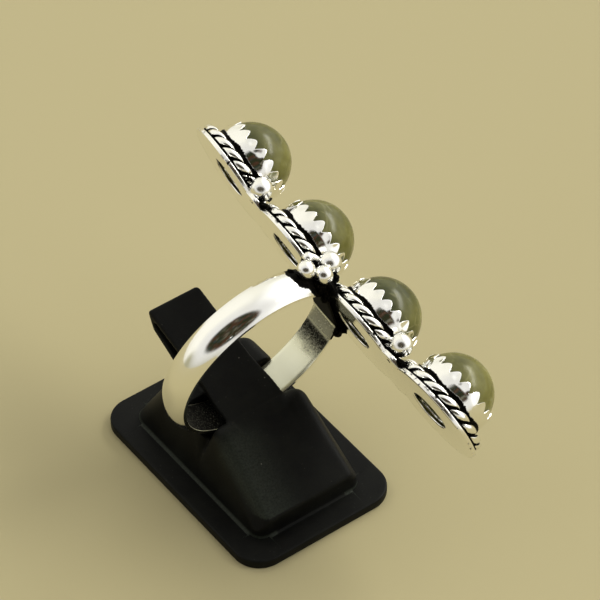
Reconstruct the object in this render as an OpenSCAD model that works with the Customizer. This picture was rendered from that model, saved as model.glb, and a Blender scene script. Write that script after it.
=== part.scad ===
// Full-finger ring with four round high-dome stones in saw-tooth bezels, on a
// plain black slotted display stand. Millimetres, +Z up. The origin is the centre
// of the stand's underside, -Y is the front with the low end of its ramp.

/* [Shank] */
// Inside diameter of the finger loop
finger_d = 18; // [16:0.5:21]
// Width of the half-round band
shank_w = 3.4; // [2.5:0.1:4.5]
// Thickness of the band at its crown
shank_t = 1.1; // [0.9:0.1:1.6]
// Thickness of the band at its two edges
shank_edge_t = 0.4; // [0.2:0.1:0.6]
// Height of the flat soldered under the head, from the loop's centre to its inside
tab_h = 8.05; // [7.8:0.05:8.2]

/* [Head] */
// Height of the back plates' undersides, from the loop's centre
plate_h = 8.7; // [8.5:0.05:8.9]
// Diameter of each round back plate
disc_d = 11.3; // [11:0.1:12]
// Thickness of the back plates
disc_t = 0.45; // [0.4:0.05:0.8]
// Distance between neighbouring stones
pitch = 10.6; // [10.6:0.1:11]
// Angle by which each plate turns away from the one beside it
bend = 2.3; // [0:0.1:4]
// Diameter of the open back under each stone
back_hole_d = 4.4; // [3.6:0.1:4.8]

/* [Rope rims] */
// Diameter of each of the two wires in the rope
wire_d = 0.64; // [0.5:0.02:0.64]
// Radius of the rope's centre line round the stone
rope_r = 4.86; // [4.84:0.01:4.9]
// Full twists in the rim of each stone
rope_turns = [10, 10, 10, 9]; // [6:1:10]

/* [Bezels] */
// Outside diameter of the bezel cup
bezel_d = 8.4; // [8.3:0.05:8.4]
// Thickness of the cup's wall
bezel_t = 0.2; // [0.15:0.05:0.25]
// Height of the notches between the teeth above the plate's underside
valley_h = 3.2; // [3:0.1:3.4]
// Height of the teeth above those notches
tooth_h = 0.8; // [0.4:0.1:0.9]
// Teeth round one bezel
teeth = 19; // [14:1:22]
// Height of the ledge that the stone sits on, above the plate's underside
seat_h = 1.45; // [1:0.05:1.8]
// Inside diameter of that ledge
ledge_d = 6.8; // [6.4:0.1:7]

/* [Stones] */
// Diameter of the dome
stone_d = 7.9; // [7.4:0.05:7.9]
// Height of the dome's top above the plate's underside
stone_top_h = 6.6; // [6:0.05:7]
// Gap between a stone and its bezel
stone_gap = 0.05; // [0.03:0.01:0.1]

/* [Granules] */
// Diameter of the two small balls on each side of the middle
ball_d = 1.9; // [1.4:0.02:2]
// Diameter of the large balls
big_ball_d = 2.4; // [1.8:0.1:2.4]

/* [Place on the stand] */
// Distance of the loop's centre to the right of the stand's middle
ring_x = 0.3; // [0:0.1:1]
// Distance of the loop's centre in front of the stand's middle
ring_front = 0.7; // [0.5:0.1:1]
// Height of the loop's centre
ring_z = 15.2; // [15:0.1:16]
// Angle by which the head leans over to the right
ring_lean = 69.4; // [60:0.1:75]
// Slope of the finger's axis down towards the front
ring_slope = 13.85; // [12:0.05:15]
// Turn of the ring about the vertical
ring_turn = 1.8; // [0:0.1:3]

/* [Stand] */
// Width of the base
base_w = 17.6; // [16:0.1:24]
// Length of the base
base_l = 25.8; // [25:0.1:32]
// Thickness of the base
base_t = 1; // [0.8:0.1:2]
// Radius of the base's corners
base_corner_r = 2.9; // [1:0.1:4]
// Width of the block at its foot
foot_w = 12.6; // [12:0.1:15]
// Width of the block at its top
block_w = 10.9; // [10:0.1:11.5]
// Radius of the block's rounded upper edges
block_edge_r = 1.4; // [0.6:0.1:1.6]
// Radius of the rounded edge at the ramp's foot
ramp_edge_r = 0.6; // [0.3:0.1:0.8]
// Width of the tongue
tongue_w = 5.95; // [5:0.05:6.5]
// Thickness of the tongue and of its folded lower leg
tongue_t = 0.7; // [0.6:0.05:0.9]
// Clearance of the ring in the slot
slot_gap = 0.15; // [0.1:0.05:0.3]

/* [Hidden] */
$fn = 96;
stones = 4;
finger_r = finger_d / 2;
crown_r = finger_r + shank_t;
// The crown is an arc through both edges and the middle of the band.
crown_rise = shank_t - shank_edge_t;
crown_arc_r = (pow(shank_w / 2, 2) + pow(crown_rise, 2)) / (2 * crown_rise);
wire_r = wire_d / 2;
// How far soldered pieces reach into each other
solder = 0.1;
rope_h = disc_t + wire_d - solder;
rope_section_points = 5;
// Angle at which each rope starts
rope_start = [142.5, 160, 7.5, 9];
bezel_r = bezel_d / 2;
stone_r = stone_d / 2;
dome_mid_h = stone_top_h - stone_r;
tooth_angle = 360 / teeth;
tooth_half_w = PI * bezel_r / teeth;
tip_h = valley_h + tooth_h;
// The teeth start to lean in a little below the notches between them
lean_h = valley_h - 0.3;
tooth_lean = 0.17;
// Half outline of a notch, in parts of half a tooth's width and of its height
notch_outline = [[0.26, 0.42], [0.52, 0.72], [0.82, 0.93], [0.82, 2.5]];
bend_r = bend == 0 ? 0 : pitch * 180 / (PI * bend);
// How far each open back sits along the head from its stone's middle
back_hole_along = [0, -0.7, -0.7, -0.3];
// Angle of each bezel's first notch
bezel_turn = [12.5, 1.5, 3, 13];
ball_r = ball_d / 2;
big_ball_r = big_ball_d / 2;
post_r = 0.6;
post_foot_h = 0.2;
web_r = 1.5;
web_x = 2.8;
web_h = 0.18;
// Balls between the outer stones: across the finger, along it, above the plate's underside
first_single = [3.52, -0.75, 1.35];
last_single = [3.52, -0.55, 1.76];
// Solder saddle between the band's flat and the plates
saddle_x = 5.1;
saddle_y = 1.6;
saddle_low = 0.6;
saddle_high = 0.55;
// Balls of the middle group: across the finger, along it, above the plate's underside
lower_ball = [7.2, -0.37, -0.74];
upper_ball = [5.95, 0.63, 0.37];
big_ball = [4.28, -0.59, 1.81];
// A bead of solder beside them
bead = [5.1, -2.05, 0.45];
bead_r = 0.6;
// Side outline of the stand, along Y and Z
foot_front_y = -10.35;
foot_back_y = 10.8;
ramp_low = [-10.3, 3.4];
ramp_high = [-2.3, 8.5];
hump_front = [1, 8.8];
hump_back = [7.4, 8.8];
// Side outline of the tongue: its sunk root, the fold and the lower leg
root_start = [-3.6, 7.6];
tongue_root = [-1.24, 8.5];
tongue_fold = [12, 12.45];
fold_nose = [12.25, 12.05];
fold_low = [11.45, 10.3];
leg_end = [7.1, 8.1];
leg_start = [4, 8.1];
slot_span_end_y = 3.6;
slot_span_t = 1.1;
root_low = [-3.6, 6.8];
// The space inside the fold
fold_gap_start_y = 4.6;
fold_gap = [[11.25, 11.55], [11.1, 10.82], [7.2, 8.8], [5, 8.8]];
tongue_rise = (tongue_fold[1] - tongue_root[1]) / (tongue_fold[0] - tongue_root[0]);
through = 40;

// Height of the tongue's top surface at a distance y along the stand
function tongue_top(y) = tongue_root[1] + tongue_rise * (y - tongue_root[0]);

// Section of the band: flat inside, arched outside
module shank_section() {
    intersection() {
        translate([finger_r, -shank_w / 2]) square([shank_t, shank_w]);
        translate([crown_r - crown_arc_r, 0]) circle(r = crown_arc_r);
    }
}

// The band: an open loop closed by a straight flat under the head
module shank() {
    difference() {
        rotate([90, 0, 0]) rotate_extrude() shank_section();
        translate([-through / 2, -through / 2, tab_h]) cube(through);
    }
    intersection() {
        translate([through / 2, 0, tab_h - finger_r]) rotate([0, -90, 0])
            linear_extrude(through) shank_section();
        rotate([90, 0, 0]) cylinder(r = crown_r, h = through, center = true);
    }
}

// Moves its children from a plate's own frame to its place in the head
module at_stone(i) {
    turn = bend * (i - (stones - 1) / 2);
    along = bend == 0 ? pitch * (i - (stones - 1) / 2) : bend_r * sin(turn);
    rise = bend == 0 ? 0 : bend_r * (1 - cos(turn));
    translate([0, along, plate_h + rise]) rotate([turn, 0, 0]) children();
}

// Points of the rope's cross-section: two touching wires, turned by a
function rope_section(a) = [for (side = [0, 1]) for (k = [0 : rope_section_points - 1])
    let (t = -75 + 150 * k / (rope_section_points - 1) + 180 * side,
         c = wire_r * cos(180 * side) + wire_r * cos(t),
         s = wire_r * sin(t))
    [c * cos(a) - s * sin(a), c * sin(a) + s * cos(a)]];

// Two wires twisted together and bent into a ring
module rope_rim(turns, start) {
    n = 2 * rope_section_points;
    rope_rings = turns * 8;
    points = [for (i = [0 : rope_rings - 1])
        let (turn = 360 * i / rope_rings)
        for (q = rope_section(turns * turn + start))
        [(rope_r + q[0]) * cos(turn), (rope_r + q[0]) * sin(turn), rope_h + q[1]]];
    faces = [for (i = [0 : rope_rings - 1]) for (k = [0 : n - 1])
        let (a = i * n + k, b = i * n + (k + 1) % n,
             c = ((i + 1) % rope_rings) * n + (k + 1) % n, d = ((i + 1) % rope_rings) * n + k)
        for (f = [[a, b, d], [b, c, d]]) f];
    polyhedron(points, faces);
}

// The notch between two teeth, cut from the outside in
module tooth_notch() {
    side = [for (p = notch_outline) [p[0] * tooth_half_w, p[1] * tooth_h]];
    last = len(side) - 1;
    translate([0, 0, valley_h]) rotate([90, 0, 90]) linear_extrude(bezel_d)
        polygon(concat([[0, 0]], side, [for (i = [0 : last]) [-side[last - i][0], side[last - i][1]]]));
}

// Cup with a ledge inside and teeth that lean towards the stone
module bezel() {
    inside = bezel_r - bezel_t;
    foot = disc_t - solder;
    difference() {
        rotate_extrude() polygon([
            [ledge_d / 2, foot], [bezel_r, foot], [bezel_r, lean_h],
            [bezel_r - tooth_lean, tip_h], [inside - tooth_lean, tip_h], [inside, lean_h],
            [inside, seat_h], [ledge_d / 2, seat_h]]);
        for (i = [0 : teeth - 1]) rotate([0, 0, i * tooth_angle]) tooth_notch();
    }
}

// A ball on a post of solder
module ball_on_post(p, r) {
    translate(p) sphere(r = r);
    translate([p[0], p[1], post_foot_h]) cylinder(r = post_r, h = p[2] - post_foot_h);
}

// A ball in the notch between two plates, which a small web of solder closes
module single_ball(i, p) {
    at_stone(i) {
        ball_on_post(p, big_ball_r);
        translate([web_x, 0, web_h]) cylinder(r = web_r, h = disc_t + solder);
    }
}

// Balls on both edges of the head, between the stones
module granules() {
    for (side = [0, 1]) mirror([side, 0, 0]) {
        single_ball(0.5, first_single);
        single_ball(stones - 1.5, last_single);
        translate([0, 0, plate_h]) {
            translate(lower_ball) sphere(r = ball_r);
            translate(upper_ball) sphere(r = ball_r);
            ball_on_post(big_ball, big_ball_r);
            translate(bead) sphere(r = bead_r);
        }
    }
}

// A large box beyond the plane between two neighbouring plates
module beyond(i, side) {
    at_stone(i) translate([-through / 2, side > 0 ? 0 : -through, -through / 2]) cube(through);
}

// One round plate with an open back, cut off where it meets its neighbours
module round_plate(i) {
    difference() {
        at_stone(i) cylinder(d = disc_d, h = disc_t);
        if (i > 0) beyond(i - 0.5, -1);
        if (i < stones - 1) beyond(i + 0.5, 1);
        at_stone(i) translate([0, back_hole_along[i], -1]) cylinder(d = back_hole_d, h = 3);
    }
}

// Moves its children from the ring's frame, finger along Y and stones up, onto the stand
module ring_place(lean) {
    translate([ring_x, -ring_front, ring_z]) rotate([0, 0, ring_turn]) rotate([ring_slope, 0, 0])
        rotate([0, lean, 0]) rotate([0, 0, 180]) children();
}

module ring_metal() {
    color("silver") ring_place(ring_lean) {
        shank();
        translate([-saddle_x, -saddle_y, plate_h - saddle_low])
            cube([2 * saddle_x, 2 * saddle_y, saddle_low + saddle_high]);
        for (i = [0 : stones - 1]) {
            round_plate(i);
            at_stone(i) rotate([0, 0, bezel_turn[i]]) bezel();
            at_stone(i) rope_rim(rope_turns[i], rope_start[i]);
        }
        granules();
    }
}

// Domed stone with an upright edge and a flat base
module stone(i) {
    color("darkolivegreen") ring_place(ring_lean) at_stone(i) intersection() {
        translate([0, 0, seat_h + stone_gap]) cylinder(d = stone_d, h = stone_top_h);
        union() {
            translate([0, 0, dome_mid_h]) sphere(d = stone_d);
            cylinder(d = stone_d, h = dome_mid_h);
        }
    }
}

module stone_1() { stone(0); }
module stone_2() { stone(1); }
module stone_3() { stone(2); }
module stone_4() { stone(3); }

// Flat base with rounded corners
module base() {
    x = base_w / 2 - base_corner_r;
    y = base_l / 2 - base_corner_r;
    linear_extrude(base_t) {
        square([base_w, 2 * y], center = true);
        square([2 * x, base_l], center = true);
        for (sx = [-1, 1], sy = [-1, 1]) translate([sx * x, sy * y]) circle(r = base_corner_r);
    }
}

// Spheres of radius r across the block, under one point of its side outline
module edge_row(p, w, r) {
    for (sx = [-1, 1]) translate([sx * (w / 2 - r), p[0], p[1] - r]) sphere(r = r, $fn = 32);
}

// Foot of one half of the block, between two distances along the stand
module foot(y0, y1) {
    translate([-foot_w / 2, y0, base_t - 0.3]) cube([foot_w, y1 - y0, 0.3]);
}

module block() {
    hull() {
        foot(foot_front_y, 0.5);
        edge_row(ramp_low + [ramp_edge_r, 0], block_w - 0.2, ramp_edge_r);
        edge_row(ramp_high, block_w, block_edge_r);
    }
    hull() {
        foot(-0.5, foot_back_y);
        edge_row(hump_front, block_w, block_edge_r);
        edge_row(hump_back - [block_edge_r, 0], block_w, block_edge_r);
    }
}

// Round-bottomed cut across the block that the band stands in
module slot() {
    ring_place(0) rotate([90, 0, 0])
        cylinder(r = crown_r + slot_gap, h = shank_w + 2 * slot_gap, center = true);
}

// Thin tongue over the slot, folded back down to the block
module tongue() {
    translate([-tongue_w / 2, 0, 0]) rotate([90, 0, 90]) linear_extrude(tongue_w) difference() {
        polygon([root_start, tongue_root, tongue_fold, fold_nose, fold_low, leg_end, leg_start,
                 [slot_span_end_y, tongue_top(slot_span_end_y) - slot_span_t],
                 tongue_root - [0, slot_span_t], root_low]);
        polygon(concat([[fold_gap_start_y, tongue_top(fold_gap_start_y) - tongue_t]], fold_gap));
    }
}

module display_stand() {
    color("black") {
        base();
        difference() {
            block();
            slot();
        }
        tongue();
    }
}

ring_metal();
stone_1();
stone_2();
stone_3();
stone_4();
display_stand();
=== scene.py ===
"""A full-finger ring with four domed stones on its black display stand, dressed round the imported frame.

Shapes are worked out in millimetres in two frames: the ring's own, with the finger along Y and the
stones up, and the stand's. Both end up in the row frame, in metres.
"""

import math

import bmesh
import bpy
import numpy as np
from mathutils import Matrix, Vector, noise


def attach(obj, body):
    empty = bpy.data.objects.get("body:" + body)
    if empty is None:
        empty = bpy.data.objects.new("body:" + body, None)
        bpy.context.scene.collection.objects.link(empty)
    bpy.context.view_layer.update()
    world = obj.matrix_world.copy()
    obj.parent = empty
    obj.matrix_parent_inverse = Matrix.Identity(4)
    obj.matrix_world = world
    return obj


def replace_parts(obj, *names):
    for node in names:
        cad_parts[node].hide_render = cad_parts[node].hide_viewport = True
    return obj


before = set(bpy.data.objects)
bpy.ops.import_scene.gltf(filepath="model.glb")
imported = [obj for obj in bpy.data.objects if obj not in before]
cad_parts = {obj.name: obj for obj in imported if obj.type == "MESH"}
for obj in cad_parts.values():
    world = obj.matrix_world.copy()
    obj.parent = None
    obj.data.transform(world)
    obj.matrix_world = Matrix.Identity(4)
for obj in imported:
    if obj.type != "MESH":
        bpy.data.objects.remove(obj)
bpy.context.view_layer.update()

MM = 0.001
BODY = "root"
SHARP_ANGLE = math.radians(50)
# Points nearer to each other than this, in metres, are joined
WELD_REACH = 1e-7

# Sizes shared with the construction, in millimetres and degrees. The band and its flat
FINGER_R = 9.0
SHANK_W = 3.4
SHANK_T = 1.1
SHANK_EDGE_T = 0.4
TAB_H = 8.05
PLATE_H = 8.7

# The row of back plates, which bends a little from each plate to the next
STONES = 4
PITCH = 10.6
BEND = 2.3
BEND_R = PITCH / math.radians(BEND)
DISC_R = 5.65
DISC_T = 0.45
BACK_HOLE_R = 2.2
BACK_HOLE_ALONG = (0, -0.7, -0.7, -0.3)
WEB_X = 2.8
WEB_R = 1.5

# The rope rims
ROPE_R = 4.86
ROPE_WIRE_R = 0.31
ROPE_WIRE_SIDE = 0.4
ROPE_H = DISC_T + 0.54
ROPE_TURNS = (10, 10, 10, 9)
ROPE_PHASE = (2.487, 2.793, 0.131, 0.157)

# The bezels
BEZEL_R = 4.2
BEZEL_T = 0.2
BEZEL_TURN = (12.5, 1.5, 3, 13)
LEDGE_R = 3.4
SEAT_H = 1.45
VALLEY_H = 3.2
TOOTH_H = 0.8
TEETH = 19

# The stones
STONE_R = 3.95
STONE_TOP_H = 6.6
STONE_GAP = 0.05
STONE_SHADE = (0.5, 0.45, 0.9, 0.2)

# The granules on the +X side, which are mirrored to the other side. The single ones name the joint
# between plates that they sit at; the group and the bead are measured from the face of the plates
SMALL_R = 0.95
BIG_R = 1.2
SINGLES = ((0.5, (3.52, -0.75, 1.35), BIG_R), (2.5, (3.52, -0.55, 1.76), BIG_R))
GROUP = (((7.2, -0.37, -0.74), SMALL_R), ((5.95, 0.63, 0.37), SMALL_R), ((4.28, -0.59, 1.81), BIG_R))
BEAD = (5.1, -2.05, 0.45)
BEAD_R = 0.6
# The way to the camera of the photo, in the ring's frame
TO_CAMERA = (0.922, 0.367, -0.125)

# How the ring leans in the stand
RING_PLACE = (0.3, -0.7, 15.2)
RING_TURN = 1.8
RING_SLOPE = 13.85
RING_LEAN = 69.4

# The stand
BASE_W = 17.6
BASE_L = 25.8
BASE_T = 1.0
BASE_CORNER_R = 2.9
FOOT_HALF_W = 6.3
FOOT_ENDS = (-10.35, 10.8)
BLOCK_HALF_W = 5.45
BLOCK_SHOULDER_H = 7.4
HUMP_BACK_Y = 7.4
TONGUE_HALF_W = 2.975
TONGUE_END = 12.25
# Height at y = 0 and rise along Y of the tongue's top and of the ramp
TONGUE_TOP = (8.87, 0.298)
RAMP_TOP = (10.46, 0.713)

# The camera: where it stands, in millimetres, and which way it looks, in degrees
CAMERA_PLACE = (-131.28, -184.13, 247.997)
CAMERA_AZIMUTH = -36.793
CAMERA_ELEVATION = 45.018
CAMERA_LENS = 204.69


# Places and values

def turned(axis, degrees):
    return np.array(Matrix.Rotation(math.radians(degrees), 4, axis))


def moved(x, y, z):
    return np.array(Matrix.Translation((x, y, z)))


RING_FRAME = (moved(*RING_PLACE) @ turned("Z", RING_TURN) @ turned("X", RING_SLOPE)
              @ turned("Y", RING_LEAN) @ turned("Z", 180))


def stone_frame(i):
    """Place of stone i's plate in the ring's frame; 0.5 lies midway between the first two."""
    turn = BEND * (i - (STONES - 1) / 2)
    along = BEND_R * math.sin(math.radians(turn))
    rise = BEND_R * (1 - math.cos(math.radians(turn)))
    return moved(0, along, PLATE_H + rise) @ turned("X", turn)


def placed(points, matrix):
    points = np.asarray(points, float)
    return points @ matrix[:3, :3].T + matrix[:3, 3]


def circle(count):
    """Angles evenly round a circle, and the direction of each."""
    angles = np.linspace(0, 2 * math.pi, count, endpoint=False)
    return angles, np.stack([np.cos(angles), np.sin(angles)], 1)


def smoothstep(low, high, x):
    t = np.clip((np.asarray(x, float) - low) / (high - low), 0, 1)
    return t * t * (3 - 2 * t)


def soft_min(a, b, sharpness):
    """The lower of two values, without a kink where one takes over from the other."""
    return -np.logaddexp(-a * sharpness, -b * sharpness) / sharpness


def wobble(points, scale, seed=0.0):
    """Smooth noise from -1 to 1 at each point, with lumps about `scale` millimetres wide."""
    return np.array([noise.noise(Vector(p) / scale + Vector((seed, seed, seed))) for p in points])


# Meshes

def grid_faces(rows, columns, wrap_rows=False):
    """Quads between rows of points; each row is a closed ring with the same number of points."""
    faces = []
    for r in range(rows if wrap_rows else rows - 1):
        low = r * columns
        high = ((r + 1) % rows) * columns
        for c in range(columns):
            after = (c + 1) % columns
            faces.append((low + c, low + after, high + after, high + c))
    return faces


def capped_faces(rows, columns):
    """Quads between rows of points, with a face over the first row and one over the last."""
    last = (rows - 1) * columns
    caps = [tuple(reversed(range(columns))), tuple(range(last, last + columns))]
    return grid_faces(rows, columns) + caps


def unit_ball(rows, columns):
    """Points and faces of a ball of radius 1, in rows from its top down."""
    points = []
    for r in range(rows + 1):
        t = math.pi * r / rows
        for c in range(columns):
            a = 2 * math.pi * c / columns
            points.append((math.sin(t) * math.cos(a), math.sin(t) * math.sin(a), math.cos(t)))
    return np.array(points), grid_faces(rows + 1, columns)


def mesh_of(name, points, faces):
    mesh = bpy.data.meshes.new(name)
    mesh.from_pydata([tuple(p) for p in points], [], faces)
    return mesh


def mesh_points(mesh):
    points = np.zeros(len(mesh.vertices) * 3)
    mesh.vertices.foreach_get("co", points)
    return points.reshape(-1, 3)


def mesh_faces(mesh):
    return [tuple(p.vertices) for p in mesh.polygons]


def linked(name, data):
    """A new object in the scene."""
    thing = bpy.data.objects.new(name, data)
    bpy.context.scene.collection.objects.link(thing)
    return thing


class Rings:
    """Gathers rings of points for one surface, each point with a value for the materials."""

    def __init__(self, count):
        self.count, self.rows, self.darks = count, [], []

    def add(self, flat, height, dark=0.0):
        """Adds a ring with those x and y; its height and its darkness may differ from point to point."""
        self.rows.append(np.column_stack([flat, np.broadcast_to(height, (self.count,))]))
        self.darks.append(np.broadcast_to(dark, (self.count,)))

    def points(self):
        return np.concatenate(self.rows)

    def dark(self):
        return np.concatenate(self.darks)


class Shape:
    """Gathers meshes in millimetres, each point with a value from 0 to 1 that its material reads.

    It says how black the silver is, with oxide, solder and some painted shade, how deep the stone's green
    is, with painted shade and painted light on its own tone, and how dusty the plastic is, with a painted
    sheen.
    """

    def __init__(self):
        self.points, self.dark, self.faces, self.count = [], [], [], 0

    def add(self, points, faces, dark=0.0):
        points = np.asarray(points, float)
        self.points.append(points)
        self.dark.append(np.broadcast_to(np.asarray(dark, float), (len(points),)))
        self.faces += [tuple(v + self.count for v in f) for f in faces]
        self.count += len(points)

    def build(self, name, matrix, material):
        mesh = mesh_of(name, placed(np.concatenate(self.points), matrix) * MM, self.faces)
        dark = mesh.attributes.new("dark", "FLOAT", "POINT")
        dark.data.foreach_set("value", np.concatenate(self.dark).astype(np.float32))
        mesh.validate()
        mesh.shade_smooth()
        mesh.materials.append(material)
        piece = linked(name, mesh)
        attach(piece, BODY)
        return piece


def second_material(piece, material, chosen):
    """Gives the chosen faces another material."""
    piece.data.materials.append(material)
    piece.data.polygons.foreach_set("material_index", chosen.astype(np.int32))


def welded(piece):
    """Joins points that lie on each other, so that every face has an area, and marks the sharp edges."""
    shell = bmesh.new()
    shell.from_mesh(piece.data)
    bmesh.ops.remove_doubles(shell, verts=shell.verts, dist=WELD_REACH)
    bmesh.ops.dissolve_degenerate(shell, edges=shell.edges, dist=WELD_REACH)
    shell.to_mesh(piece.data)
    shell.free()
    piece.data.set_sharp_from_angle(angle=SHARP_ANGLE)
    return piece


def without_crumbs(faces, count, least):
    """The faces of four corners that belong to shells of at least that many faces."""
    corners = np.array(faces)
    label = np.arange(count)
    while True:
        lower = label.copy()
        np.minimum.at(lower, corners, label[corners].min(axis=1)[:, None])
        lower = lower[lower]
        if (lower == label).all():
            break
        label = lower
    shell = label[corners[:, 0]]
    size = np.bincount(shell, minlength=count)
    return [face for face, in_shell in zip(faces, size[shell]) if in_shell >= least]


def remeshed(mesh, voxel, smoothing):
    """Points and faces of the outer skin of a mesh at that voxel size, smoothed, in the same units."""
    heap = linked("heap", mesh)
    remesh = heap.modifiers.new("skin", "REMESH")
    remesh.mode = "VOXEL"
    remesh.voxel_size = voxel
    smooth = heap.modifiers.new("soft", "SMOOTH")
    smooth.iterations = smoothing
    smooth.factor = 0.5
    skin = bpy.data.meshes.new_from_object(heap.evaluated_get(bpy.context.evaluated_depsgraph_get()))
    points, faces = mesh_points(skin), mesh_faces(skin)
    bpy.data.objects.remove(heap)
    bpy.data.meshes.remove(skin)
    return points, faces


def fused(blobs, voxel, smoothing):
    """One skin round a heap of ellipsoids (centre, half sizes), in millimetres."""
    ball_points, ball_faces = unit_ball(12, 18)
    heap = Shape()
    for centre, halves in blobs:
        heap.add(ball_points * halves + centre, ball_faces)
    return remeshed(mesh_of("heap", np.concatenate(heap.points), heap.faces), voxel, smoothing)


# Material nodes

def fill(tree, target, inputs):
    """Links each input to a value that is a socket, or sets it to any other value."""
    for key, value in inputs.items():
        if isinstance(value, bpy.types.NodeSocket):
            tree.links.new(value, target.inputs[key])
        else:
            target.inputs[key].default_value = value


def node(tree, kind, inputs=None, **settings):
    """Adds a node with those inputs; the settings are its own properties."""
    added = tree.nodes.new(kind)
    for key, value in settings.items():
        setattr(added, key, value)
    fill(tree, added, inputs or {})
    return added


def math_node(tree, operation, a, b=0.0):
    return node(tree, "ShaderNodeMath", {0: a, 1: b}, operation=operation).outputs[0]


def plus(tree, a, b):
    return math_node(tree, "ADD", a, b)


def times(tree, a, b):
    return math_node(tree, "MULTIPLY", a, b)


def blend_colours(tree, factor, a, b):
    return node(tree, "ShaderNodeMix", {0: factor, 6: a, 7: b}, data_type="RGBA").outputs[2]


def step_between(tree, value, low, high):
    """0 up to the low value and 1 from the high one on."""
    ramp = node(tree, "ShaderNodeMapRange", {"Value": value, "From Min": low, "From Max": high},
                interpolation_type="SMOOTHSTEP")
    return ramp.outputs["Result"]


def fade_between(tree, value, low, high):
    """1 up to the low value and 0 from the high one on."""
    return math_node(tree, "SUBTRACT", 1.0, step_between(tree, value, low, high))


def noise_node(tree, place, lumps_mm, detail=3.0, roughness=0.5):
    """Noise whose lumps are about that many millimetres wide."""
    lumps = {"Vector": place, "Scale": 1 / (lumps_mm * MM), "Detail": detail, "Roughness": roughness}
    return node(tree, "ShaderNodeTexNoise", lumps).outputs["Fac"]


def cells_node(tree, place, cells_mm, feature="F1"):
    """Cells about that many millimetres wide."""
    cells = {"Vector": place, "Scale": 1 / (cells_mm * MM)}
    return node(tree, "ShaderNodeTexVoronoi", cells, feature=feature)


def stretched(tree, place, rotation, scale):
    mapping = {"Vector": place, "Rotation": rotation, "Scale": scale}
    return node(tree, "ShaderNodeMapping", mapping).outputs[0]


def specks(tree, place, cells_mm, reach, channel, chosen):
    """1 on specks in a few of the cells; `chosen` says which by a channel of their random colours."""
    cells = cells_node(tree, place, cells_mm)
    near = fade_between(tree, cells.outputs["Distance"], *reach)
    draw = node(tree, "ShaderNodeSeparateColor", {0: cells.outputs["Color"]}).outputs[channel]
    return times(tree, near, step_between(tree, draw, *chosen))


def mesh_value(tree):
    """The value from 0 to 1 that each point of the mesh carries."""
    return node(tree, "ShaderNodeAttribute", attribute_name="dark").outputs["Fac"]


def bump_node(tree, height, strength, depth_mm):
    bump = {"Height": height, "Strength": strength, "Distance": depth_mm * MM}
    return node(tree, "ShaderNodeBump", bump).outputs[0]


def new_material(name):
    material = bpy.data.materials.new(name)
    material.use_nodes = True
    tree = material.node_tree
    tree.nodes.clear()
    place = node(tree, "ShaderNodeTexCoord").outputs["Object"]
    shader = node(tree, "ShaderNodeBsdfPrincipled")
    node(tree, "ShaderNodeOutputMaterial", {0: shader.outputs[0]})
    return material, tree, place, shader


def silver_material(name, roughness, scratch=0.25, lumps=0.4, soft=0.04, metal=1.0, blue=0.94):
    """Silver that turns black where the mesh says so, with fine scratches and pits.

    The edge of the black has lumps of that many millimetres and is `soft` to both sides. Lower values
    of `metal` and `blue` make the silver duller and more yellow.
    """
    material, tree, place, shader = new_material(name)
    ragged = noise_node(tree, place, lumps, 5.0, 0.65)
    uneven = times(tree, math_node(tree, "SUBTRACT", ragged, 0.5), 0.9)
    # The mesh's value marks oxide and solder, and also painted shade in the slot, under the flat and in the
    # hole walls
    black = step_between(tree, plus(tree, mesh_value(tree), uneven), 0.51 - soft, 0.51 + soft)
    tint = noise_node(tree, place, 1.2, 2.0)
    clean = blend_colours(tree, tint, (0.93, 0.92, blue - 0.07, 1), (0.97, 0.965, blue, 1))
    grime = step_between(tree, noise_node(tree, place, 0.15, 3.0), 0.45, 0.75)
    soot = blend_colours(tree, grime, (0.0015, 0.0013, 0.0012, 1), (0.016, 0.014, 0.010, 1))
    worn = noise_node(tree, place, 0.6, 4.0, 0.65)
    polish = plus(tree, roughness, times(tree, worn, 0.07))
    pits = times(tree, noise_node(tree, place, 0.12, 2.0), plus(tree, 0.06, black))
    height = plus(tree, times(tree, worn, 0.5), pits)
    fill(tree, shader, {"Base Color": blend_colours(tree, black, clean, soot),
                        "Metallic": metal,
                        "Roughness": plus(tree, polish, times(tree, black, 0.65)),
                        "Normal": bump_node(tree, height, scratch, 0.02)})
    return material


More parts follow.
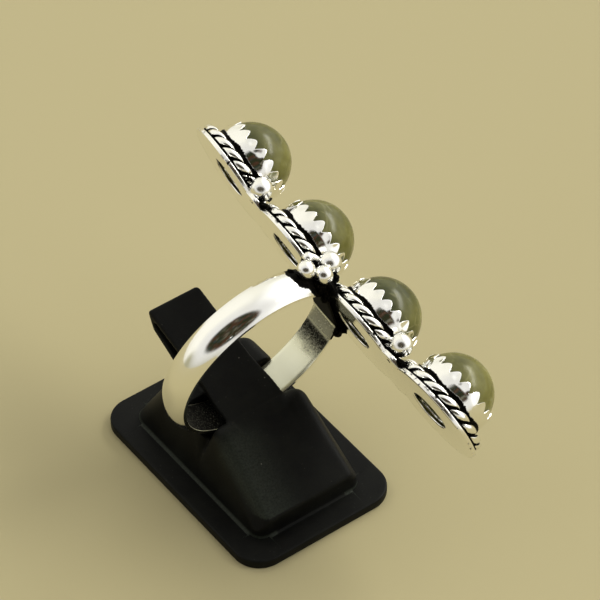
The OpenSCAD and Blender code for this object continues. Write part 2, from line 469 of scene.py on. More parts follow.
def stone_material():
    """Grey-green translucent feldspar with cloudy layers, dark needles and a soft polish."""
    material, tree, place, shader = new_material("labradorite")
    cloud = noise_node(tree, place, 2.6, 4.0, 0.55)
    fine = noise_node(tree, place, 0.5, 5.0, 0.7)
    layers = noise_node(tree, stretched(tree, place, (0.5, 0.35, 0.2), (1.0, 0.28, 1.0)), 1.1, 4.0)
    mixed = plus(tree, times(tree, cloud, 0.6), times(tree, layers, 0.4))
    clouds = step_between(tree, mixed, 0.34, 0.66)
    pale = blend_colours(tree, clouds, (0.122, 0.117, 0.026, 1), (0.208, 0.199, 0.068, 1))
    deep = blend_colours(tree, clouds, (0.032, 0.038, 0.009, 1), (0.066, 0.071, 0.022, 1))
    # The mesh's value blends pale into deep green: the stone's own tone, with painted shade and painted
    # light
    colour = blend_colours(tree, mesh_value(tree), pale, deep)
    needles = cells_node(tree, stretched(tree, place, (0.2, 0.9, 0.5), (1.0, 1.0, 0.3)), 0.9)
    needle = fade_between(tree, needles.outputs["Distance"], 0.06, 0.13)
    spots = times(tree, needle, step_between(tree, fine, 0.5, 0.6))
    colour = blend_colours(tree, times(tree, spots, 0.7), colour, (0.02, 0.018, 0.006, 1))
    cracks = cells_node(tree, stretched(tree, place, (0.9, 0.2, 0.7), (1.0, 0.45, 1.0)), 1.9,
                        feature="DISTANCE_TO_EDGE")
    crack = fade_between(tree, cracks.outputs["Distance"], 0.01, 0.05)
    flash = times(tree, crack, step_between(tree, cloud, 0.5, 0.62))
    colour = blend_colours(tree, times(tree, flash, 0.32), colour, (0.30, 0.29, 0.14, 1))
    fill(tree, shader, {"Base Color": colour,
                        "Roughness": plus(tree, 0.17, times(tree, fine, 0.08)),
                        "IOR": 1.5,
                        "Specular IOR Level": 0.25,
                        "Subsurface Weight": 0.5,
                        "Subsurface Radius": (1.0, 0.95, 0.4),
                        "Subsurface Scale": 1.6 * MM,
                        "Normal": bump_node(tree, fine, 0.06, 0.03)})
    return material


def plastic_material():
    """Soft matte black with faint mottling, dust with a painted sheen and a painted highlight where the
    mesh says so, and a few specks.
    """
    material, tree, place, shader = new_material("black_plastic")
    mottle = noise_node(tree, place, 4.0, 4.0, 0.6)
    grain = noise_node(tree, place, 0.18, 3.0, 0.6)
    cloud = step_between(tree, mottle, 0.35, 0.68)
    colour = blend_colours(tree, cloud, (0.0012, 0.0013, 0.0011, 1), (0.0046, 0.0050, 0.0040, 1))
    # Dust with a painted sheen, and a painted highlight along the crease, lighten the black where the mesh
    # says so
    dust_and_sheen = times(tree, mesh_value(tree), step_between(tree, grain, -0.1, 0.9))
    colour = blend_colours(tree, dust_and_sheen, colour, (0.050, 0.060, 0.046, 1))
    lint = times(tree, specks(tree, place, 0.38, (0.06, 0.16), 1, (0.70, 0.74)), cloud)
    colour = blend_colours(tree, lint, colour, (0.040, 0.042, 0.034, 1))
    dust = specks(tree, place, 0.9, (0.03, 0.09), 0, (0.84, 0.86))
    colour = blend_colours(tree, dust, colour, (0.14, 0.135, 0.11, 1))
    height = plus(tree, grain, times(tree, mottle, 1.5))
    fill(tree, shader, {"Base Color": colour,
                        "Roughness": plus(tree, 0.42, times(tree, mottle, 0.25)),
                        "Specular IOR Level": 0.12,
                        "Normal": bump_node(tree, height, 0.4, 0.03)})
    return material


POLISHED = silver_material("polished_silver", 0.07)
BRIGHT = silver_material("bright_silver", 0.11, scratch=0.4)
WORN = silver_material("worn_silver", 0.15, scratch=0.7, lumps=0.16, soft=0.36)
# The band's inside is duller silver, and its yellow tint is a painted reflection
INSIDE = silver_material("inner_silver", 0.22, scratch=0.5, lumps=0.16, soft=0.36, metal=0.7, blue=0.76)
SATIN = silver_material("satin_silver", 0.19, scratch=0.4, lumps=0.3)
CUP = silver_material("cup_silver", 0.05, scratch=0.5, lumps=0.25)
STONE = stone_material()
PLASTIC = plastic_material()


# The band: a half-round strip round the finger, closed by a flat under the head

CROWN_POINTS = 25
BORE_POINTS = 11
# How sharply the round goes over into the flat, on the inside and on the outside
BORE_SHARPNESS = 30
CROWN_SHARPNESS = 14


def band_section():
    """The band's section, as y and height over its crown: crown, edge, bore and the other edge."""
    half = SHANK_W / 2
    rise = SHANK_T - SHANK_EDGE_T
    corner = 0.08
    comfort = 0.05
    arch_r = (half ** 2 + rise ** 2) / (2 * rise)
    arch = math.asin((half - corner) / arch_r)
    crown = [(arch_r * math.sin(t), arch_r * math.cos(t) - arch_r)
             for t in np.linspace(-arch, arch, CROWN_POINTS)]
    bore = [(y, comfort * (y / half) ** 2 - SHANK_T)
            for y in np.linspace(half - corner, corner - half, BORE_POINTS)]
    edge_top = crown[-1][1] - corner * 0.8
    edge_low = corner - SHANK_T
    return np.array(crown + [(half, edge_top), (half, edge_low)]
                    + bore + [(-half, edge_low), (-half, edge_top)])


def band_dark(points, in_bore):
    """How dark the band is: outside near the head, and inside under the flat, in the slot and between;
    under the flat it is oxide with painted shade, and in the slot painted shade and a painted dark
    reflection of the stand.
    """
    height = points[:, 2]
    ragged = wobble(points, 0.8, 8.0)
    near_head = smoothstep(6.0, 6.45, height + 0.4 * ragged - 0.9 * smoothstep(0.75, 1.2, points[:, 1]))
    # Under the flat: oxide, with painted shade
    under_flat = (1 - smoothstep(3.55, 3.8, np.abs(points[:, 0]))) * (height > 6)
    # In the slot: painted shade and a painted dark reflection of the stand
    painted_slot_shade = 0.85 * smoothstep(-3.6, -5.2, height + 0.8 * ragged)
    tarnish = 0.42 + 0.36 * smoothstep(5.0, 6.6, height)
    tarnish *= smoothstep(4.2, 5.3, height + 0.5 * ragged)
    tarnish *= 1 - 0.85 * smoothstep(6.75, 7.15, height)
    return np.where(in_bore, np.maximum(np.maximum(under_flat, painted_slot_shade), tarnish), near_head)


def band():
    section = band_section()
    share = (section[:, 1] + SHANK_T) / SHANK_T
    kink = math.degrees(math.acos(TAB_H / FINGER_R))
    # Every 1.5 degrees, and finer where the flat begins and ends
    fine = np.linspace(-2, 2, 33)
    turns = np.unique(np.concatenate([np.arange(0, 360, 1.5), kink + fine, 360 - kink + fine]))
    out_of_reach = 99
    seam_h = 0.07
    seam_w = 0.07
    points = []
    for turn in turns:
        s, c = math.sin(math.radians(turn)), math.cos(math.radians(turn))
        under_head = c > 0.2
        flat_in = TAB_H / c if under_head else out_of_reach
        flat_out = PLATE_H / c if under_head else out_of_reach
        # The seam between the band and the flat stands out a little
        from_seam = FINGER_R * math.radians(min(abs(turn - kink), abs(360 - turn - kink)))
        seam = seam_h * math.exp(-(from_seam / seam_w) ** 2)
        r_in = soft_min(FINGER_R, flat_in, BORE_SHARPNESS) - seam
        r_out = soft_min(FINGER_R + SHANK_T, flat_out, CROWN_SHARPNESS)
        r = r_in + share * (r_out - r_in)
        points.append(np.stack([r * s, section[:, 0], r * c], 1))
    points = np.concatenate(points)
    radial = points * [1, 0, 1]
    radial /= np.linalg.norm(radial, axis=1)[:, None]
    unevenness = 0.025
    points += radial * (wobble(points, 3.5, 3.1) * unevenness)[:, None]
    in_bore = np.tile(section[:, 1] < 0.06 - SHANK_T, len(turns))
    shape = Shape()
    shape.add(points, grid_faces(len(turns), len(section), wrap_rows=True), band_dark(points, in_bore))
    piece = shape.build("band", RING_FRAME, POLISHED)
    column = np.arange(len(piece.data.polygons)) % len(section)
    last_inside = CROWN_POINTS + BORE_POINTS + 2
    second_material(piece, INSIDE, (column > CROWN_POINTS) & (column <= last_inside))
    return piece


# The back plates: four discs in a row that share their edges, each with an open back

TOP_ROWS = 9
RIM_ROWS = 6


def outline_radius(angle, first, last):
    """Distance from a plate's centre to its edge, and whether that edge is free."""
    s, c = math.sin(angle), math.cos(angle)
    reach = DISC_R
    joined = PITCH / 2 / max(abs(s), 1e-6)
    has_neighbour = not (first if s < 0 else last)
    if has_neighbour:
        web = math.hypot(WEB_X, PITCH / 2)
        gap = abs(math.atan2(abs(s), abs(c)) - math.atan2(PITCH / 2, WEB_X))
        side = web * math.sin(gap)
        if side < WEB_R:
            reach = max(reach, web * math.cos(gap) + math.sqrt(WEB_R ** 2 - side ** 2))
        if joined < reach:
            return joined, False
    return reach, True


def plate_rings(i, count):
    """The rings of plate i round its section, and where its outer edge is free."""
    bevel = 0.1
    dish = 0.03
    angles, around = circle(count)
    outline = [outline_radius(a, i == 0, i == STONES - 1) for a in angles]
    outer = around * np.array([r for r, _ in outline])[:, None]
    free = np.array([f for _, f in outline], float)
    inner = around * BACK_HOLE_R + [0, BACK_HOLE_ALONG[i]]
    across = outer - inner
    wide = np.linalg.norm(across, axis=1)
    across /= wide[:, None]
    free_bevel = bevel * free
    rings = Rings(count)

    def ring(from_hole, height, dark=0.0):
        rings.add(inner + across * np.broadcast_to(from_hole, (count,))[:, None], height, dark)

    # The top, from the hole outwards, black between its two edges
    for t in np.linspace(0, 1, TOP_ROWS):
        ring(t * (wide - free_bevel), DISC_T, 1.0 if 0.05 < t < 0.95 else 0.4)
    # The rounded rim
    for t in np.radians((30, 60, 90)):
        ring(wide - free_bevel * (1 - math.sin(t)), DISC_T - free_bevel * (1 - math.cos(t)))
    for t in np.radians((90, 60, 30)):
        ring(wide - free_bevel * (1 - math.sin(t)), free_bevel * (1 - math.cos(t)))
    # The underside, a little dished, from the rim inwards
    for t in np.linspace(1, 0, 14):
        ring(bevel + t * (wide - bevel - free_bevel), -dish * (1 - smoothstep(0.0, 0.4, t)))
    # The hole's rounded edge and its wall, a little sooty, with painted shade towards the two ends of the
    # hole
    for t in np.radians((30, 60, 90)):
        ring(bevel * (1 - math.sin(t)), bevel * (1 - math.cos(t)) - dish)
    # Painted shade at the ends of the hole's wall, over a little soot
    ends = 0.5 * smoothstep(0.5, 0.95, -around[:, 1]) + 0.35 * smoothstep(0.8, 1.0, around[:, 1])
    soot_and_painted_shade = 0.08 + ends
    ring(0, 0.06 - dish + bevel, 0.5 * soot_and_painted_shade)
    ring(0.02, 0.2 - dish + bevel, soot_and_painted_shade)
    ring(0.03, DISC_T - 0.05, np.maximum(soot_and_painted_shade, 0.55))
    return rings, free


def on_rim(row):
    return (row >= TOP_ROWS) & (row < TOP_ROWS + RIM_ROWS)


def back_plates():
    count = 240
    shape = Shape()
    for i in range(STONES):
        rings, free = plate_rings(i, count)
        rows = len(rings.rows)
        points = placed(rings.points(), stone_frame(i))
        points[:, 2] += 0.012 * wobble(points, 2.5, 5.0)
        # Black nicks in the free part of the rim
        nick = np.clip(wobble(points, 0.45, 21.0) - 0.25, 0, 1) * 2.2
        nick *= np.tile(free, rows) * on_rim(np.repeat(np.arange(rows), count))
        shape.add(points, grid_faces(rows, count, wrap_rows=True), np.clip(rings.dark() + nick, 0, 1))
    piece = shape.build("back_plates", RING_FRAME, POLISHED)
    second_material(piece, WORN, on_rim(np.arange(len(piece.data.polygons)) // count % rows))
    return piece


# The rope rims: two wires twisted round each other

def rope_wire(i, wire, turn, around):
    """Points of one of the two wires of rope i, over its plate."""
    lean = math.atan(ROPE_TURNS[i] * ROPE_WIRE_R / ROPE_R)
    spin = ROPE_TURNS[i] * turn + math.pi * wire + ROPE_PHASE[i]
    out = ROPE_WIRE_R + ROPE_WIRE_R * np.cos(around)
    side = ROPE_WIRE_SIDE * np.sin(around)
    r = ROPE_R + out * np.cos(spin) - side * math.cos(lean) * np.sin(spin)
    height = ROPE_H + out * np.sin(spin) + side * math.cos(lean) * np.cos(spin)
    along = -side * math.sin(lean)
    return np.stack([r * np.cos(turn) - along * np.sin(turn),
                     r * np.sin(turn) + along * np.cos(turn), height], 1)


def melted(points, dark):
    """The points and darkness of a rope, melted and pitted beside the first granule."""
    joint, (x, y, z), _ = SINGLES[0]
    middle = placed([(x, y, z - 0.4)], stone_frame(joint))[0]
    near = 1 - smoothstep(1.5, 2.6, np.linalg.norm(points - middle, axis=1))
    lumps = wobble(points, 0.3, 31.0)
    points = points + (0.14 * near * lumps)[:, None] * [1, 0.5, 1]
    return points, np.clip(dark + near * smoothstep(0.02, -0.25, lumps), 0, 1)


def rope_rims():
    rings, sides = 560, 16
    turn = np.repeat(circle(rings)[0], sides)
    around = np.tile(circle(sides)[0], rings)
    shape = Shape()
    for i in range(STONES):
        for wire in (0, 1):
            over_plate = rope_wire(i, wire, turn, around)
            points = placed(over_plate, stone_frame(i))
            worn = 0.12 * wobble(points, 0.9, 6.0 + wire)
            hollow = smoothstep(0.3, -0.15, np.cos(around) + worn)
            foot = smoothstep(-0.2, -0.42, over_plate[:, 2] - ROPE_H + 0.6 * worn)
            dark = np.maximum(hollow, foot)
            if i == 0:
                points, dark = melted(points, dark)
            shape.add(tucked(points), grid_faces(rings, sides, wrap_rows=True), dark)
    return shape.build("rope_rims", RING_FRAME, BRIGHT)


# The bezels: thin cups with a ledge inside and rounded teeth that lean on the stone

def tooth_height(angle):
    """Height of the cup's rim above its notches: straight sides up to a round tip."""
    from_notch = 1 - np.abs(2 * ((angle * TEETH / (2 * math.pi)) % 1.0) - 1)
    return TOOTH_H * np.sin(math.pi / 2 * from_notch ** 1.08)


def wall_radius(height, flute=0.0):
    """Outside radius of the cup at a height: upright, then fluted and bending over the dome."""
    lean = np.maximum(0.0, height - (VALLEY_H - 0.4))
    fluted = flute * smoothstep(VALLEY_H - 0.35, VALLEY_H + 0.25, height)
    return BEZEL_R - 0.12 * lean - 0.055 * lean ** 2 + fluted


def cup_rings(i, count):
    """The rings of cup i: up its outside, over its teeth, down its inside and in along the ledge."""
    angles, around = circle(count)
    notch = angles - math.radians(BEZEL_TURN[i])
    size = 1 + 0.1 * np.sin(notch * 5 + 2 * i) + 0.06 * np.sin(notch * 8 + i)
    rim = VALLEY_H + tooth_height(notch) * size + 0.04 * np.sin(notch * 3 + 1.3 * i)
    middle = 0.5 - 0.5 * np.cos(notch * TEETH)
    flute = 0.035 * (1 - middle) - 0.045 * middle
    foot = DISC_T - 0.1
    rings = Rings(count)

    def ring(radius, height, dark):
        rings.add(around * np.broadcast_to(radius, (count,))[:, None], height, dark)

    # The outside, black at the rope and clean above it
    for t in np.concatenate([np.linspace(0, 0.7, 12), np.linspace(0.74, 0.985, 10)]):
        height = foot + t * (rim - foot)
        dent = np.abs(0.025 * np.sin(notch * 4 + height * 1.5 + i))
        soot = 1 - smoothstep(1.72, 2.52, height + 0.1 * np.sin(notch * 7 + 3 * i))
        ring(wall_radius(height, flute) - dent, height, soot)
    # Over the teeth, then down the inside to the ledge
    top = wall_radius(rim, flute)
    ring(top - 0.03, rim - 0.01, 0.0)
    ring(top - 0.09, rim, 0.0)
    ring(top - BEZEL_T + 0.03, rim - 0.02, 0.0)
    for t in (0.97, 0.9, 0.8, 0.6, 0.4):
        height = foot + t * (rim - foot)
        ring(wall_radius(height) - BEZEL_T, height, 0.6)
    ring(BEZEL_R - BEZEL_T, SEAT_H, 1.0)
    ring(LEDGE_R + 0.05, SEAT_H, 0.7)
    ring(LEDGE_R, SEAT_H - 0.06, 0.45)
    ring(LEDGE_R, foot, 0.45)
    return rings


def bezels():
    count = TEETH * 24
    shape = Shape()
    for i in range(STONES):
        rings = cup_rings(i, count)
        faces = grid_faces(len(rings.rows), count, wrap_rows=True)
        shape.add(placed(rings.points(), stone_frame(i)), faces, rings.dark())
    return shape.build("bezels", RING_FRAME, CUP)


# The stones: high domes with an upright edge

def stone(i):
    count = 128
    around = circle(count)[1]
    foot = SEAT_H + STONE_GAP
    middle = STONE_TOP_H - STONE_R
    profile = [(0.0, foot), (STONE_R * 0.5, foot), (STONE_R - 0.25, foot), (STONE_R - 0.08, foot + 0.06),
               (STONE_R, foot + 0.25)]
    for t in np.radians(np.linspace(0, 89.5, 48)):
        profile.append((STONE_R * math.cos(t), middle + STONE_R * math.sin(t)))
    rings = Rings(count)
    for radius, height in profile:
        rings.add(around * radius, height)
    points = rings.points()
    # The dome is a little uneven
    bulge = 1 - 0.004 * (1 + wobble(points, 4.0, 2.0 + i)) * (points[:, 2] > middle + 0.8)
    points[:, :2] *= bulge[:, None]
    # Painted shade near the bezel, and painted light on the side away from the first stone, over the
    # stone's own green
    low = 0.35 * smoothstep(5.0, 3.4, points[:, 2])
    painted_light_far_side = 0.7 * smoothstep(0.0, 0.8, points[:, 1] / STONE_R)
    shade = STONE_SHADE[i] + low + 0.2 * wobble(points, 2.5, 7.0 + i) - painted_light_far_side
    shape = Shape()
    shape.add(points, capped_faces(len(profile), count), np.clip(shade, 0, 1))
    name = f"stone_{i + 1}"
    piece = shape.build(name + "_dome", RING_FRAME @ stone_frame(i), STONE)
    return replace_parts(welded(piece), name)


# Granules

def granule_places():
    """Each granule's side, centre in the ring's frame, radius and seed."""
    places = []
    for side in (1, -1):
        for k, (joint, (x, y, z), radius) in enumerate(SINGLES):
            places.append((side, placed([(side * x, y, z)], stone_frame(joint))[0], radius, 3.0 * k + side))
        for k, ((x, y, z), radius) in enumerate(GROUP):
            places.append((side, np.array((side * x, y, PLATE_H + z)), radius, 11.0 * k + side))
        places.append((side, np.array((side * BEAD[0], BEAD[1], PLATE_H + BEAD[2])), BEAD_R, 40.0 + side))
    return places


def tucked(points):
    """The points, pushed back where they would hide a granule from a camera on its side of the head."""
    for side, centre, radius, _ in granule_places():
        outward = np.array(TO_CAMERA) * [side, 1, 1]
        offset = points - centre
        ahead = offset @ outward
        aside = np.linalg.norm(offset - ahead[:, None] * outward, axis=1)
        skin = np.sqrt(np.maximum(radius ** 2 - aside ** 2, 0)) - 0.06
        over = (aside < radius) & (ahead > skin) & (ahead < radius + 1)
        points = points - np.where(over, ahead - skin, 0)[:, None] * outward
    return points


def granules():
    ball, faces = unit_ball(20, 32)
    shape = Shape()
    for _, centre, radius, seed in granule_places():
        # Nearly round, black at the foot and in a few pits
        size = radius * (1 + 0.02 * wobble(ball, 0.9, seed))
        points = ball * size[:, None] * [1, 1, 0.97]
        foot = smoothstep(-0.84, -0.98, points[:, 2] / radius)
        pits = 0.3 * smoothstep(0.4, 0.65, wobble(points, 0.5, seed + 7))
        shape.add(points + centre, faces, np.maximum(foot, pits))
    return shape.build("granules", RING_FRAME, SATIN)


# Solder: rough and black, in the notches, under the granules and over the ends of the band's flat

# Lumps by the middle joint, on the +X side: centre from the face of the plates, and half sizes
MIDDLE_LUMPS = (
    ((4.8, 0.1, -0.25), (1.2, 2.2, 0.6)),
    ((4.0, 0.1, 0.35), (1.3, 1.8, 0.6)),
    ((6.3, -0.6, -1.05), (0.7, 0.9, 0.4)),
    ((5.5, 0.9, -0.75), (0.8, 0.9, 0.5)),
    ((3.6, -0.3, 0.75), (0.9, 1.1, 0.6)),
    ((4.9, -1.6, -0.05), (0.8, 0.9, 0.5)),
    ((2.6, 0.0, 0.4), (1.6, 1.0, 0.5)),
    ((4.9, 1.9, 0.2), (0.75, 0.7, 0.55)),
    ((4.5, 2.0, -0.7), (0.7, 0.5, 0.5)),
    ((7.05, -1.1, -1.95), (0.35, 0.5, 0.3)),
    ((3.95, 0.75, 1.1), (0.55, 0.5, 0.65)),
)


def solder_lumps():
    """Centre in the ring's frame and half sizes of each lump."""
    lumps = []
    for side in (1, -1):
        for (x, y, z), halves in MIDDLE_LUMPS:
            lumps.append((np.array((side * x, y, PLATE_H + z)), halves))
        for joint, (x, y, _), _ in SINGLES:
            for centre, halves in (((side * (x - 0.7), 0.3, 0.45), (1.1, 1.2, 0.45)),
                                   ((side * (x - 0.1), 0.9, 0.45), (0.9, 0.85, 0.45)),
                                   ((side * (x - 0.5), y * 0.6, 0.4), (0.75, 0.8, 0.45))):
                lumps.append((placed([centre], stone_frame(joint))[0], halves))
    return lumps


def clear_of_loop(points):
    """The points, moved out where they would hang into the finger loop."""
    x, y, z = points.T
    over_band = np.abs(y) < SHANK_W / 2
    to_rim = np.maximum(1, (FINGER_R + 0.2) / np.hypot(x, z))
    outward = np.where(over_band & (z < PLATE_H), to_rim, 1)
    lowest = TAB_H + 0.15
    flat_half_l = 4.2
    under_flat = over_band & (z * outward < lowest) & (np.abs(x) < flat_half_l)
    x = x * np.where(under_flat, 1, outward)
    z = np.where(under_flat, lowest, z * outward)
    return np.stack([x, y, z], 1)


def solder():
    points, faces = fused(solder_lumps(), voxel=0.09, smoothing=1)
    rough = 0.13 * wobble(points, 0.3, 4.0) + 0.1 * wobble(points, 0.8, 9.0)
    points = clear_of_loop(points + rough[:, None] * [0.7, 0.7, 1])
    fewest_faces = 100
    shape = Shape()
    shape.add(tucked(points), without_crumbs(faces, len(points), fewest_faces), 1.0)
    return shape.build("solder", RING_FRAME, BRIGHT)


# The display stand: the moulded form with soft edges and a crease round its foot

def base_plate(shape):
    """Flat plate with rounded corners and a soft upper edge."""
    count = 192
    soft = 0.2
    out = circle(count)[1]
    corners = np.sign(out) * [BASE_W / 2 - BASE_CORNER_R, BASE_L / 2 - BASE_CORNER_R]
    edge = corners + BASE_CORNER_R * out
    profile = [(0.1, 0.0), (0.03, 0.03), (0.0, 0.12)]
    for t in np.radians(np.linspace(0, 90, 7)):
        profile.append((soft * (1 - math.cos(t)), BASE_T - soft * (1 - math.sin(t))))
    profile += [(inset, BASE_T) for inset in np.linspace(0.4, BASE_CORNER_R, 9)]
    rings = Rings(count)
    for inset, height in profile:
        rings.add(edge - out * inset, height)
    shape.add(rings.points(), capped_faces(len(profile), count))


def round_corners(points, chosen, half_w, end, corner, way=1):
    """Rounds in plan the two corners at one end of a block, for the chosen points.

    The block reaches `end` forwards (way 1) or backwards (way -1) along Y.
    """
    x, y = points[:, 0].copy(), points[:, 1].copy()
    over_x = np.abs(x) - (half_w - corner)
    over_y = way * y - (end - corner)
    reach = np.hypot(over_x, over_y)
    pull = chosen & (over_x > 0) & (over_y > 0) & (reach > corner)
    scale = corner / np.maximum(reach, 1e-6)
    points[:, 0] = np.where(pull, np.sign(x) * (half_w - corner + over_x * scale), x)
    points[:, 1] = np.where(pull, way * (end - corner + over_y * scale), y)


def round_tongue(points):
    x, _, z = points.T
    round_corners(points, z > 9, TONGUE_HALF_W, TONGUE_END, np.where(x < 0, 0.4, 1.0))


def round_block(points):
    """The block narrows upwards, and its corners are softer at the back."""
    x, _, z = points.T
    beside_tongue = np.abs(x) > TONGUE_HALF_W + 0.1
    up = np.clip((z - BASE_T) / (BLOCK_SHOULDER_H - BASE_T), 0, 1)
    half_w = FOOT_HALF_W - (FOOT_HALF_W - BLOCK_HALF_W) * up
    back = FOOT_ENDS[1] - (FOOT_ENDS[1] - HUMP_BACK_Y) * up
    on_foot = beside_tongue & (z > 0.75)
    round_corners(points, on_foot & (z < 4.2), half_w, -FOOT_ENDS[0], 1.3, way=-1)
    round_corners(points, on_foot & (z < 9), half_w, back, 1.8 + 0.8 * up)


def flare_tongue(points):
    """The tongue widens towards its root."""
    x, y, z = points.T
    wide = np.abs(x)
    side = (wide > 2.2) & (wide < TONGUE_HALF_W + 0.2) & (z > 8.2) & (y > -2) & (y < 4)
    flare = 0.35 * (1 - smoothstep(-0.5, 3.8, y)) * smoothstep(2.2, 2.9, wide)
    points[:, 0] += np.sign(x) * side * flare


def smooth_ramp(points):
    """The tongue rises out of the ramp without a ridge between them."""
    x, y, z = points.T
    tongue_h = TONGUE_TOP[0] + TONGUE_TOP[1] * y
    ramp_h = RAMP_TOP[0] + RAMP_TOP[1] * y
    top = soft_min(tongue_h, ramp_h, 6)
    over = (y > -5.5) & (y < -0.9) & (z > top) & (z > 6)
    points[:, 2] = np.where(over, top + (z - top) * (1 - smoothstep(3.3, 2.5, np.abs(x))), z)


def stand():
    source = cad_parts["display_stand"].data
    solid = mesh_of("heap", mesh_points(source) / MM, mesh_faces(source))
    points, faces = remeshed(solid, voxel=0.15, smoothing=6)
    round_tongue(points)
    round_block(points)
    flare_tongue(points)
    smooth_ramp(points)
    x, y, z = points.T
    # The block keeps its own skin down to the base, which is a plate of its own
    outside = (np.abs(x) > FOOT_HALF_W + 0.2) | (y < FOOT_ENDS[0] - 0.2) | (y > FOOT_ENDS[1] + 0.2)
    drop = (outside & (z < BASE_T + 0.3)) | (z < BASE_T - 0.2)
    faces = [f for f in faces if not all(drop[v] for v in f)]
    # A painted highlight runs along the crease where the block meets the base
    crease_highlight = smoothstep(0.28, 0.12, np.abs(z - BASE_T - 0.12)) * (np.abs(x) > 4)
    # Dust with a painted sheen lies on the -X half of the ramp
    dust_and_sheen = 0.55 * smoothstep(0.5, -4.5, x) * smoothstep(-1.5, -4.0, y)
    dust_and_sheen *= (z > 3.2) * smoothstep(-5.9, -5.2, x)
    shape = Shape()
    shape.add(points, faces, np.maximum(0.6 * crease_highlight, dust_and_sheen))
    base_plate(shape)
    piece = shape.build("moulded_stand", np.eye(4), PLASTIC)
    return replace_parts(welded(piece), "display_stand")


for piece in (band(), back_plates(), rope_rims(), bezels(), granules(), solder()):
    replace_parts(welded(piece), "ring_metal")
for number in range(STONES):
    stone(number)
stand()


# Floor, light and camera

def floor():
    reach = 1.5
    corners = [(-reach, -reach, 0), (reach, -reach, 0), (reach, reach, 0), (-reach, reach, 0)]
    mesh = mesh_of("floor", corners, [(0, 1, 2, 3)])
    material, tree, _, shader = new_material("pale_floor")
    fill(tree, shader, {"Base Color": (0.46, 0.404, 0.226, 1), "Roughness": 0.9})
    mesh.materials.append(material)
    plane = linked("floor", mesh)


def direction(azimuth, elevation):
    """Unit vector: azimuth in degrees clockwise from +Y, seen from above."""
    a, e = math.radians(azimuth), math.radians(elevation)
    return Vector((math.sin(a) * math.cos(e), math.cos(a) * math.cos(e), math.sin(e)))


def along(tree, ray, axis):
    """How far the ray goes along an axis."""
    product = {0: ray, 1: tuple(axis)}
    return node(tree, "ShaderNodeVectorMath", product, operation="DOT_PRODUCT").outputs["Value"]


def card(tree, ray, azimuth, elevation, half_width, half_height, soft, oval):
    """1 inside a card seen that way from the middle of the room, 0 outside, soft at its edge."""
    ahead = direction(azimuth, elevation)
    right = direction(azimuth + 90, 0)
    sides = ((right, half_width), (right.cross(ahead), half_height))
    depth = math_node(tree, "MAXIMUM", along(tree, ray, ahead), 0.001)
    inside = step_between(tree, depth, 0.0, 0.1)
    if oval:
        reach = 0.0
        for axis, half in sides:
            size = times(tree, depth, math.tan(math.radians(half)))
            off = math_node(tree, "DIVIDE", along(tree, ray, axis), size)
            reach = plus(tree, reach, times(tree, off, off))
        edge = soft / half_width
        return times(tree, inside, fade_between(tree, math_node(tree, "SQRT", reach), 1 - edge, 1 + edge))
    for axis, half in sides:
        off = math_node(tree, "ABSOLUTE", math_node(tree, "DIVIDE", along(tree, ray, axis), depth))
        outer = math.tan(math.radians(half + soft))
        inner = math.tan(math.radians(max(half - soft, 0)))
        inside = times(tree, inside, fade_between(tree, off, inner, outer))
    return inside


def viewer_colour(tree, ray):
    """The dark and mottled colour of the person who takes the photo."""
    colour = (0.024, 0.027, 0.012, 1)
    for scale, detail, low, high, tint in (
            (4.5, 2.0, 0.46, 0.60, (0.065, 0.030, 0.016, 1)),
            (10.0, 3.0, 0.56, 0.66, (0.025, 0.055, 0.058, 1)),
            (8.0, 4.0, 0.54, 0.70, (0.17, 0.155, 0.11, 1))):
        lumps = node(tree, "ShaderNodeTexNoise", {"Vector": ray, "Scale": scale, "Detail": detail})
        colour = blend_colours(tree, step_between(tree, lumps.outputs["Fac"], low, high), colour, tint)
    return colour


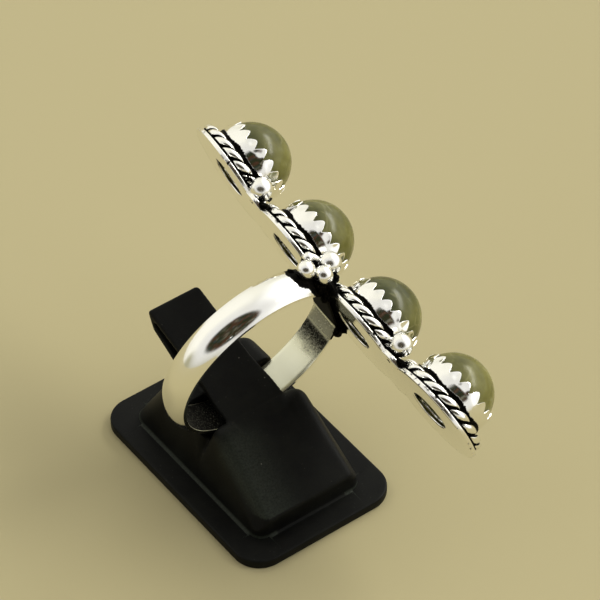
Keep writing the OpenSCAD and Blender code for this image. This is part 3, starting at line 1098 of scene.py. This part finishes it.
def studio():
    """Plain soft light: a pale room with two bright windows, seen by the object and not by the camera."""
    world = bpy.data.worlds.new("studio")
    bpy.context.scene.world = world
    world.use_nodes = True
    tree = world.node_tree
    tree.nodes.clear()
    ray = node(tree, "ShaderNodeTexCoord").outputs["Generated"]
    height = node(tree, "ShaderNodeSeparateXYZ", {0: ray}).outputs[2]
    colour = blend_colours(tree, step_between(tree, height, -0.05, 0.42),
                           (0.60, 0.54, 0.36, 1), (0.84, 0.825, 0.745, 1))
    # Each card's azimuth, elevation, half width, half height and softness in degrees, form and colour
    for azimuth, elevation, width, tall, soft, oval, tint in (
            (25, 25, 40, 30, 18, False, (0.88, 0.86, 0.73, 1)),
            (112, 34, 50, 34, 18, False, (1.30, 1.30, 1.27, 1)),
            (328, 38, 38, 34, 24, False, (1.05, 1.03, 0.92, 1)),
            (255, 4, 45, 14, 10, False, (0.42, 0.40, 0.27, 1)),
            (222, 47, 50, 40, 20, False, (0.82, 0.81, 0.78, 1)),
            (219, 44, 38, 29, 6, True, viewer_colour(tree, ray)),
            (101, 38, 26, 5, 4, False, (12.5, 12.3, 11.2, 1)),
            (207, 24, 0.8, 0.8, 0.5, False, (3.0, 3.0, 2.9, 1))):
        inside = card(tree, ray, azimuth, elevation, width, tall, soft, oval)
        colour = blend_colours(tree, inside, colour, tint)
    room = node(tree, "ShaderNodeBackground", {"Color": colour, "Strength": 1.0}).outputs[0]
    plain = node(tree, "ShaderNodeBackground", {"Color": (0.8, 0.76, 0.62, 1), "Strength": 1.0}).outputs[0]
    seen = node(tree, "ShaderNodeLightPath").outputs["Is Camera Ray"]
    mix = node(tree, "ShaderNodeMixShader", {0: seen, 1: room, 2: plain}).outputs[0]
    node(tree, "ShaderNodeOutputWorld", {"Surface": mix})


def camera():
    data = bpy.data.cameras.new("camera")
    data.lens = CAMERA_LENS
    data.sensor_width = 36
    data.clip_start = 0.01
    data.clip_end = 10
    view = linked("camera", data)
    turn = Matrix.Rotation(math.radians(CAMERA_AZIMUTH), 4, "Z")
    tilt = Matrix.Rotation(math.radians(90 - CAMERA_ELEVATION), 4, "X")
    view.matrix_world = Matrix.Translation(Vector(CAMERA_PLACE) * MM) @ turn @ tilt
    bpy.context.scene.camera = view


floor()
studio()
camera()
bpy.context.scene.view_settings.view_transform = "Standard"
